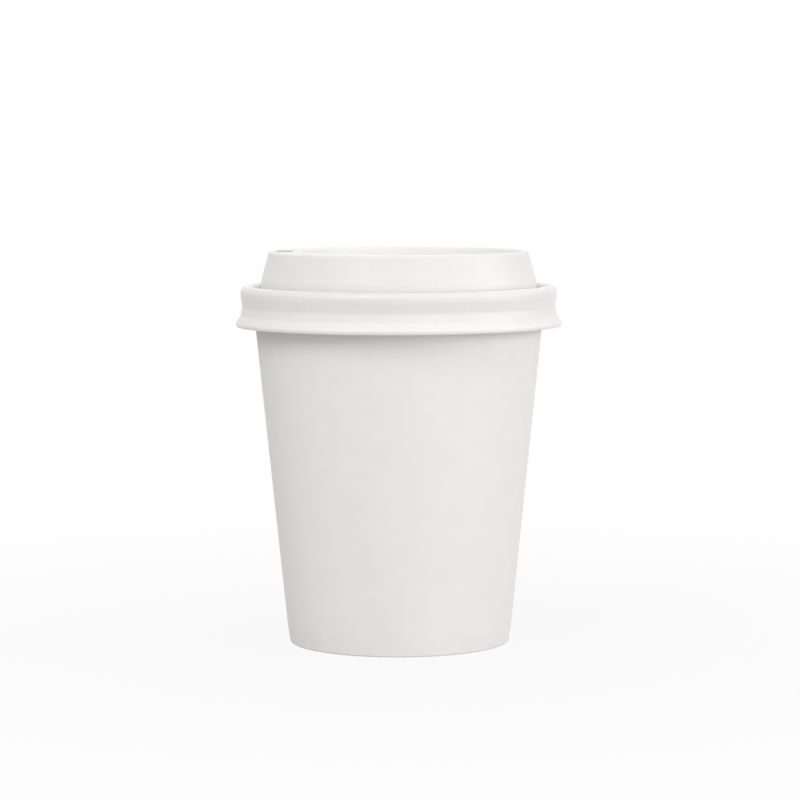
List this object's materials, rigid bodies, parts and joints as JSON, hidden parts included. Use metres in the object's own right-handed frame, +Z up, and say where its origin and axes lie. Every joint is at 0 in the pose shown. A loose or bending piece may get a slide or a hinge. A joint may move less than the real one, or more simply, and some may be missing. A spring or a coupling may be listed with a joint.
{
  "type": "paper cup",
  "caption": "Plain white tapered paper cup for hot drinks, with a rolled rim, a folded foot and a recessed base, closed by a domed sip lid that pulls off upwards.",
  "frame": {"origin": "centre of the ring that the cup stands on, on the table", "axes": "+Z up along the axis of the cup, sip hole of the lid towards -X, lap of the sidewall at the back towards +Y"},
  "size_m": [0.0842, 0.0842, 0.1015],
  "materials": {
    "sidewall_board": "white paperboard with a thin satin polyethylene film",
    "base_board": "white paperboard with a thin satin polyethylene film",
    "lid_plastic": "satin white thermoformed polystyrene"
  },
  "bodies": {
    "cup": {"cup_sidewall": "sidewall_board", "cup_base": "base_board"},
    "lid": {"lid": "lid_plastic"}
  },
  "joints": [
    {"name": "lid_lift", "type": "slide", "parent": "cup", "child": "lid", "axis": [0, 0, 1], "range_m": [0, 0.06]}
  ]
}
